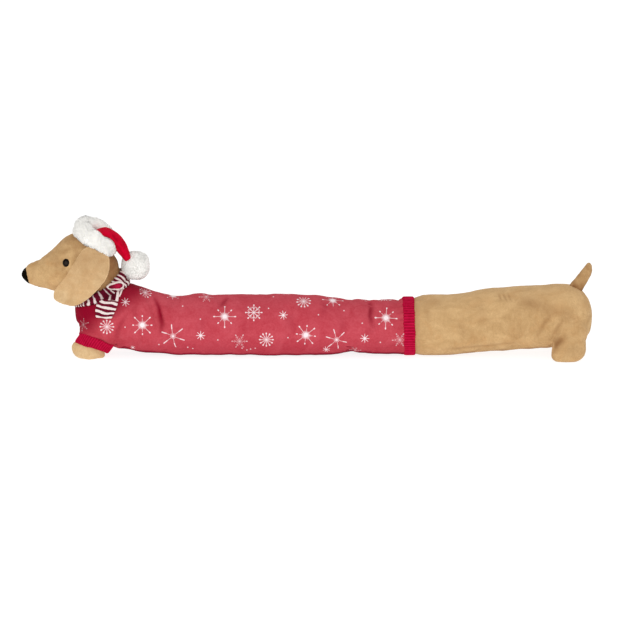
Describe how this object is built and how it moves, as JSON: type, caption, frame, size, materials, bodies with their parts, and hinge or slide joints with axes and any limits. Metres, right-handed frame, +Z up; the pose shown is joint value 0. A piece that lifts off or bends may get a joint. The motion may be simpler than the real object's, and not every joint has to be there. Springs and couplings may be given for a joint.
{
  "type": "draught excluder",
  "caption": "Long filled draught excluder shaped as a lying dachshund in a snowflake jumper, with a tied striped scarf and a soft pointed hat.",
  "frame": {"origin": "the floor under the middle of the length", "axes": "+X from the nose towards the tail, +Z up, -Y towards the side that shows in the picture"},
  "size_m": [0.9994, 0.1566, 0.2447],
  "materials": {
    "tan_plush": "short-pile plush",
    "printed_jersey": "brushed jersey with a printed snowflake pattern",
    "rib_knit": "rib knit",
    "striped_knit": "striped knit",
    "white_fleece": "shaggy fleece",
    "hat_velvet": "smooth velour",
    "nose_felt": "felt",
    "eye_bead": "polished"
  },
  "bodies": {
    "root": {"jumper": "printed_jersey", "hem_band": "rib_knit", "sleeve_cuff_near": "rib_knit", "sleeve_cuff_far": "rib_knit", "hindquarters": "tan_plush", "tail": "tan_plush", "paw_near": "tan_plush", "paw_far": "tan_plush", "head": "tan_plush", "ear_near": "tan_plush", "ear_far": "tan_plush", "nose": "nose_felt", "eye_near": "eye_bead", "eye_far": "eye_bead", "scarf": "striped_knit", "hat_brim": "white_fleece", "hat_cone": "hat_velvet", "hat_pompom": "white_fleece"}
  },
  "joints": []
}
